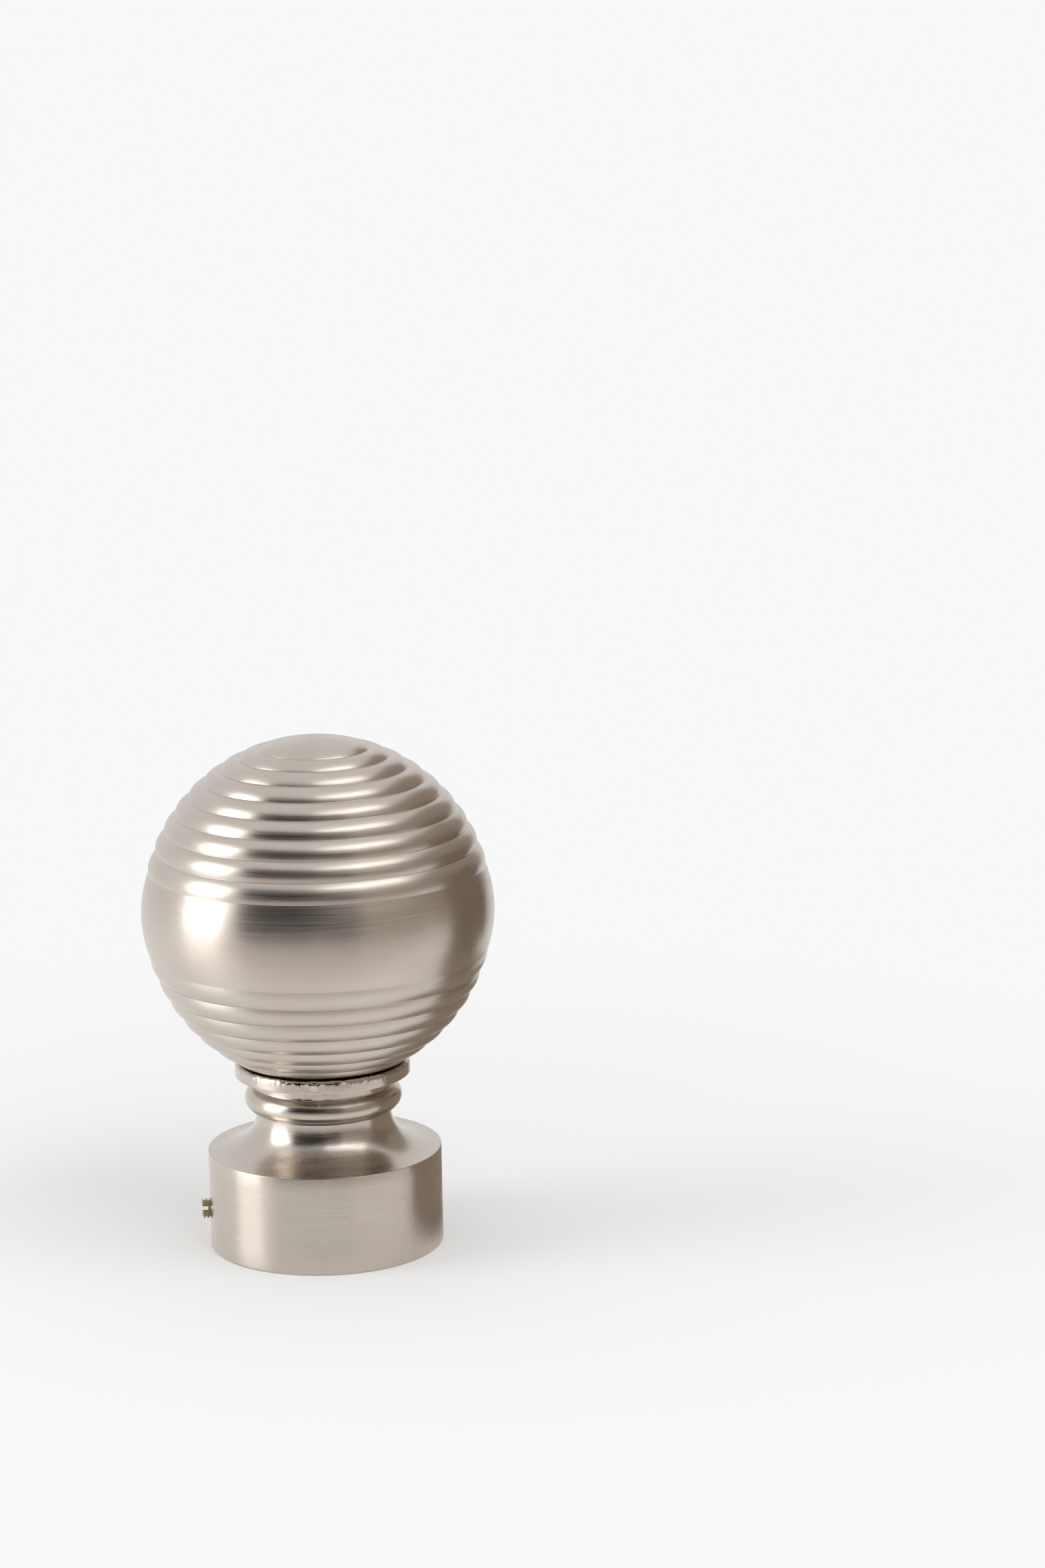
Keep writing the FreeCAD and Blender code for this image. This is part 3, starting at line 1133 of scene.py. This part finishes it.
@dataclass
class GrubScrew:
    """The headless slotted screw in the cup's side, with its thread."""

    head: Vector
    length: float
    radius: float
    pitch: float = 0.7 * MM
    thread_depth: float = 0.42 * MM
    crest_width: float = 0.1 * MM
    root_width: float = 0.12 * MM
    point: float = 0.5 * MM
    slot_width: float = 0.7 * MM
    slot_depth: float = 1.15 * MM
    # How far the slot is turned from the level, in degrees
    slot_turn: float = -18.0
    turn_steps: int = 48

    # The turns of thread that start below the outer end, and all those beyond the screw's length
    lead_turns: int = 2
    spare_turns: int = 3

    # The length of the slot's cutter in radii of the screw
    slot_reach: float = 3.0

    @classmethod
    def from_frame(cls) -> "GrubScrew":
        """The screw as long and as thick as its CAD node, at its place.

        Returns:
            The screw.
        """
        low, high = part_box("grub_screw")
        middle = (low + high) / 2
        head = Vector((low.x, middle.y, middle.z))
        return cls(head=head, length=high.x - low.x, radius=(high.y - low.y) / 2)

    def build(self) -> bpy.types.Object:
        """Turns the thread, trims its ends, cuts the slot and puts the screw in its place.

        Returns:
            The object.
        """
        flank = (self.pitch - self.crest_width - self.root_width) / 2
        root = self.radius - self.thread_depth
        section = HalfSection(on_section(root, -self.lead_turns * self.pitch))
        for _ in range(math.ceil(self.length / self.pitch) + self.spare_turns):
            section.line(section.tip.co + on_section(0.0, self.root_width))
            section.line(section.tip.co + on_section(self.thread_depth, flank))
            section.line(section.tip.co + on_section(0.0, self.crest_width))
            section.line(section.tip.co + on_section(-self.thread_depth, flank))
        mesh = section.mesh
        bmesh.ops.spin(
            mesh,
            geom=mesh.verts[:] + mesh.edges[:],
            cent=ORIGIN,
            axis=AXIS,
            dvec=AXIS * (self.pitch / self.turn_steps),
            angle=math.tau,
            steps=self.turn_steps,
        )
        bmesh.ops.remove_doubles(mesh, verts=mesh.verts, dist=WELD)
        self.trim(mesh, 0.0, -AXIS)
        self.trim(mesh, self.length, AXIS)
        for corner in mesh.verts:
            self.taper(corner)
        close_up(mesh)
        item = new_object("clamp_screw", mesh)
        cut_away(item, self.slot())
        place = Matrix.Translation(self.head) @ Matrix.Rotation(math.pi / 2, 4, "Y")
        item.data.transform(place)
        stand_in(item, "grub_screw", "grub_screw")
        return item

    def trim(self, mesh: BMesh, height: float, outwards: Vector) -> None:
        """Cuts the thread off flat at a height and closes the end.

        Args:
            mesh: The thread, with its axis along Z.
            height: The height of the cut.
            outwards: The direction, along the axis, of what is taken away.
        """
        cut = bmesh.ops.bisect_plane(
            mesh,
            geom=mesh.verts[:] + mesh.edges[:] + mesh.faces[:],
            plane_co=AXIS * height,
            plane_no=outwards,
            clear_outer=True,
        )
        ring = [edge for edge in cut["geom_cut"] if isinstance(edge, bmesh.types.BMEdge)]
        bmesh.ops.edgeloop_fill(mesh, edges=ring)

    def taper(self, corner: BMVert) -> None:
        """Draws a vertex of the thread in to the cone at the screw's point.

        Args:
            corner: The vertex.
        """
        reach = math.hypot(corner.co.x, corner.co.y)
        allowed = self.radius - max(0.0, corner.co.z - (self.length - self.point))
        if reach > allowed:
            corner.co.x *= allowed / reach
            corner.co.y *= allowed / reach

    def slot(self) -> BMesh:
        """The shape of the slot across the screw's outer end, as deep outside the end as inside it.

        Returns:
            The closed shape.
        """
        tool = bmesh.new()
        spread = Matrix.Diagonal((self.slot_width, self.radius * self.slot_reach, self.slot_depth * 2, 1.0))
        turn = Matrix.Rotation(math.radians(self.slot_turn), 4, "Z")
        bmesh.ops.create_cube(tool, size=1.0, matrix=turn @ spread)
        return tool

    def dress(self, item: bpy.types.Object) -> None:
        """Gives the screw its yellowed plate."""
        item.data.materials.append(YELLOWED_PLATE.build())


@dataclass(frozen=True)
class Softbox:
    """A soft lamp, placed by its direction from the middle of the finial."""

    name: str
    azimuth: float
    elevation: float
    distance: float
    width: float
    height: float
    power: float

    def build(self, target: Vector) -> None:
        """Hangs the lamp so that it faces a point.

        Args:
            target: The point.
        """
        data = bpy.data.lights.new(self.name, "AREA")
        data.shape = "RECTANGLE"
        data.size = self.width
        data.size_y = self.height
        data.energy = self.power
        lamp = bpy.data.objects.new(self.name, data)
        lamp.matrix_world = facing(target, self.azimuth, self.elevation, self.distance)
        lamp.visible_camera = False
        bpy.context.scene.collection.objects.link(lamp)


@dataclass(frozen=True)
class Card:
    """A card of one even tone that only reflections see, which shades the metal as a dark room does."""

    name: str
    azimuth: float
    elevation: float
    distance: float
    width: float
    height: float
    colour: str

    def build(self, target: Vector) -> None:
        """Stands the card so that it faces a point.

        Args:
            target: The point.
        """
        mesh = bmesh.new()
        place = facing(target, self.azimuth, self.elevation, self.distance)
        spread = Matrix.Diagonal((self.width, self.height, 1.0, 1.0))
        # The operator's size is half the width of the grid
        bmesh.ops.create_grid(mesh, x_segments=1, y_segments=1, size=0.5, matrix=spread)
        bmesh.ops.transform(mesh, matrix=place, verts=mesh.verts)
        card = new_object(self.name, mesh)
        material = new_material(self.name)
        tree = material.node_tree
        glow = add_node(tree, "ShaderNodeEmission", {"Color": linear(self.colour), "Strength": 1.0})
        add_node(tree, "ShaderNodeOutputMaterial", {"Surface": glow.outputs[0]})
        card.data.materials.append(material)
        card.visible_camera = False
        card.visible_diffuse = False
        card.visible_shadow = False
        card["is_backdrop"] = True


def facing(target: Vector, azimuth: float, elevation: float, distance: float) -> Matrix:
    """The place of something that faces a point from a direction.

    Args:
        target: The point.
        azimuth: The direction's turn in degrees from the camera's side (-Y) towards +X.
        elevation: Its height in degrees above the level.
        distance: The distance from the point.

    Returns:
        The matrix that puts its back away from the point, with its own Y axis upwards.
    """
    side = math.radians(azimuth)
    rise = math.radians(elevation)
    away = Vector((math.sin(side) * math.cos(rise), -math.cos(side) * math.cos(rise), math.sin(rise)))
    turn = away.to_track_quat("Z", "Y").to_matrix().to_4x4()
    return Matrix.Translation(target + away * distance) @ turn


# The lamps: azimuth and elevation in degrees, distance, width and height in metres, power in watts
LAMPS = (
    Softbox("left_softbox", -80.0, 17.0, 0.8, 0.42, 0.54, 2.35),
    Softbox("overhead_softbox", 44.0, 51.0, 0.9, 0.8, 0.48, 2.2),
)

# The cards: azimuth and elevation in degrees, distance, width and height in metres, colour
CARDS = (
    Card("front_room", -27.0, 22.5, 0.5, 0.5, 0.48, "1C1A19"),
    Card("front_right_room", 13.0, 22.5, 0.52, 0.26, 0.5, "423E3A"),
    Card("right_front_room", 50.0, 20.0, 0.8, 0.72, 0.75, "A0968C"),
    Card("right_room", 112.0, 20.0, 1.0, 1.6, 0.95, "A0958A"),
    Card("right_card", 98.0, 0.0, 0.095, 0.06, 0.1, "84766A"),
    # Painted shade on the floor beside the cup, as a card that only reflections see
    Card("right_low_card", 112.0, -35.0, 0.06, 0.06, 0.055, "978A7D"),
    Card("right_low_room", 114.0, -3.0, 0.18, 0.11, 0.075, "3E352E"),
)


@dataclass(frozen=True)
class Studio:
    """The pale floor, the white background, the soft lamps, the dark cards and the photograph's camera."""

    # The background to the eye, and the light of the room, for matte surfaces and in reflections
    backdrop: str = "F8F8F8"
    room_colour: str = "FFFFFF"
    room_level: float = 0.66
    mirror_level: float = 0.86

    # The floor's size, where it starts to fade out, and where it starts and ends to do so for the eye
    floor_radius: float = 0.9
    floor_steps: int = 96
    floor_clear: float = 0.25
    seen_clear: float = 0.07
    seen_radius: float = 0.24

    # The light that the floor adds for the eye, and its sheen in reflections, which glows a little and has
    # painted shade in front and a painted shadow at a side
    floor_lift: float = 0.05
    floor_gloss: float = 0.3
    floor_glow: float = 0.12
    floor_shade: str = "E4DFDA"
    shade_start: float = 0.06
    shade_end: float = 0.15
    side_shade: str = "8F857B"
    side_place: tuple[float, float, float] = (0.047, 0.01, 0.0)
    side_reach: float = 0.034
    side_core: float = 0.014

    # The camera, with its angles in degrees
    camera_distance: float = 0.7786
    camera_height: float = 0.2545
    camera_heading: float = -2.904
    camera_pitch: float = 11.98
    camera_roll: float = -1.04
    camera_clear: float = 0.01
    lens_mm: float = 96.2
    sensor_mm: float = 36.0

    def build(self, target: Vector) -> None:
        """Sets up everything round the finial.

        Args:
            target: The middle of the finial.
        """
        bpy.context.scene.view_settings.view_transform = "Standard"
        self.add_world()
        self.add_floor()
        self.add_camera()
        for item in LAMPS + CARDS:
            item.build(target)

    def add_world(self) -> None:
        """Makes the world: the background to the eye, less bright in reflections and again as light."""
        world = bpy.data.worlds.new("studio")
        world.use_nodes = True
        tree = world.node_tree
        tree.nodes.clear()
        rays = add_node(tree, "ShaderNodeLightPath")
        level = add_node(
            tree,
            "ShaderNodeMapRange",
            {"Value": rays.outputs["Is Glossy Ray"], "To Min": self.room_level, "To Max": self.mirror_level},
        )
        room = add_node(
            tree, "ShaderNodeBackground", {"Color": linear(self.room_colour), "Strength": level.outputs[0]}
        )
        backdrop = add_node(tree, "ShaderNodeBackground", {"Color": linear(self.backdrop), "Strength": 1.0})
        either = add_node(
            tree,
            "ShaderNodeMixShader",
            {0: rays.outputs["Is Camera Ray"], 1: room.outputs[0], 2: backdrop.outputs[0]},
        )
        add_node(tree, "ShaderNodeOutputWorld", {"Surface": either.outputs[0]})
        bpy.context.scene.world = world

    def add_floor(self) -> None:
        """Lays the pale floor, which keeps the finial's shadow."""
        mesh = bmesh.new()
        bmesh.ops.create_circle(mesh, cap_ends=True, segments=self.floor_steps, radius=self.floor_radius)
        floor = new_object("floor", mesh)
        floor.data.materials.append(self.floor_paint())
        floor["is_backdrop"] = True

    def floor_paint(self) -> bpy.types.Material:
        """Makes the floor's pale matte paint, with a sheen in reflections, clear from below and far off.

        Returns:
            The material.
        """
        material = new_material("pale_floor")
        tree = material.node_tree
        place = add_node(tree, "ShaderNodeTexCoord").outputs["Object"]
        reach = add_node(tree, "ShaderNodeVectorMath", {0: place}, operation="LENGTH")
        fade, seen_fade = (
            add_node(
                tree,
                "ShaderNodeMapRange",
                {"Value": reach.outputs["Value"], "From Min": start, "From Max": end},
                interpolation_type="SMOOTHSTEP",
            ).outputs[0]
            for start, end in ((self.floor_clear, self.floor_radius), (self.seen_clear, self.seen_radius))
        )
        clear = add_node(tree, "ShaderNodeBsdfTransparent").outputs[0]
        matte = add_node(tree, "ShaderNodeBsdfDiffuse", {"Color": linear(self.backdrop)})
        lift = add_node(tree, "ShaderNodeEmission", {"Strength": self.floor_lift})
        lit = add_node(tree, "ShaderNodeAddShader", {0: matte.outputs[0], 1: lift.outputs[0]})
        seen = add_node(tree, "ShaderNodeMixShader", {0: seen_fade, 1: lit.outputs[0], 2: clear})
        rays = add_node(tree, "ShaderNodeLightPath")
        surface = add_node(
            tree,
            "ShaderNodeMixShader",
            {0: rays.outputs["Is Camera Ray"], 1: self.add_sheen(tree, place), 2: seen.outputs[0]},
        )
        faces = add_node(tree, "ShaderNodeNewGeometry")
        gone = add_node(
            tree, "ShaderNodeMath", {0: fade, 1: faces.outputs["Backfacing"]}, operation="MAXIMUM"
        )
        both = add_node(tree, "ShaderNodeMixShader", {0: gone.outputs[0], 1: surface.outputs[0], 2: clear})
        add_node(tree, "ShaderNodeOutputMaterial", {"Surface": both.outputs[0]})
        return material

    def add_sheen(self, tree: bpy.types.NodeTree, place: bpy.types.NodeSocket) -> bpy.types.NodeSocket:
        """Adds what reflections see of the floor: a sheen with painted shade in front and a painted shadow
        at one side.

        Args:
            tree: The node tree.
            place: The place on the floor.

        Returns:
            The shader's socket.
        """
        parts = add_node(tree, "ShaderNodeSeparateXYZ", {0: place})
        # Painted shade on the floor in front of the finial, which only reflections see
        front = add_node(
            tree,
            "ShaderNodeMapRange",
            {"Value": parts.outputs["Y"], "From Min": -self.shade_start, "From Max": -self.shade_end},
            interpolation_type="SMOOTHSTEP",
        )
        front_tone = add_node(
            tree,
            "ShaderNodeMix",
            {
                MIX_SHARE: front.outputs[0],
                MIX_FIRST_COLOUR: linear(self.backdrop),
                MIX_SECOND_COLOUR: linear(self.floor_shade),
            },
            data_type="RGBA",
        )
        # A painted shadow on the floor beside the finial, which only reflections see
        aside = add_node(tree, "ShaderNodeVectorMath", {0: place, 1: self.side_place}, operation="DISTANCE")
        side = add_node(
            tree,
            "ShaderNodeMapRange",
            {"Value": aside.outputs["Value"], "From Min": self.side_reach, "From Max": self.side_core},
            interpolation_type="SMOOTHSTEP",
        )
        tone = add_node(
            tree,
            "ShaderNodeMix",
            {
                MIX_SHARE: side.outputs[0],
                MIX_FIRST_COLOUR: front_tone.outputs[MIX_COLOUR],
                MIX_SECOND_COLOUR: linear(self.side_shade),
            },
            data_type="RGBA",
        ).outputs[MIX_COLOUR]
        sheen = add_node(
            tree,
            "ShaderNodeBsdfPrincipled",
            {
                "Base Color": tone,
                "Roughness": self.floor_gloss,
                "Emission Color": tone,
                "Emission Strength": self.floor_glow,
            },
        )
        return sheen.outputs[0]

    def add_camera(self) -> None:
        """Puts the camera where the photograph was taken from."""
        data = bpy.data.cameras.new("photo_camera")
        data.lens = self.lens_mm
        data.sensor_width = self.sensor_mm
        data.clip_start = self.camera_clear
        camera = bpy.data.objects.new("photo_camera", data)
        camera.matrix_world = (
            Matrix.Translation((0.0, -self.camera_distance, self.camera_height))
            @ Matrix.Rotation(math.radians(self.camera_heading), 4, "Z")
            @ Matrix.Rotation(math.radians(90.0 - self.camera_pitch), 4, "X")
            @ Matrix.Rotation(math.radians(self.camera_roll), 4, "Z")
        )
        bpy.context.scene.collection.objects.link(camera)
        bpy.context.scene.camera = camera


def main() -> None:
    """Builds the pieces, dresses them and lights them."""
    logging.basicConfig(level=logging.INFO, format="%(message)s")
    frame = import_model()
    cad_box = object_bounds()

    for part in (RibbedBall.from_frame(), SocketCasting.from_frame(), GrubScrew.from_frame()):
        item = part.build()
        part.dress(item)
        log.info("%s: %d faces", item.name, len(item.data.polygons))

    zinc = ZINC_PLATE.build()
    for name in ("fixing_screw", "ball_nut"):
        node = frame["nodes"][name]
        node.data.materials.clear()
        node.data.materials.append(zinc)
        log.info("%s: keeps its solid", name)

    low, high = cad_box
    Studio().build((Vector(low) + Vector(high)) / 2)


if __name__ == "__main__":
    main()
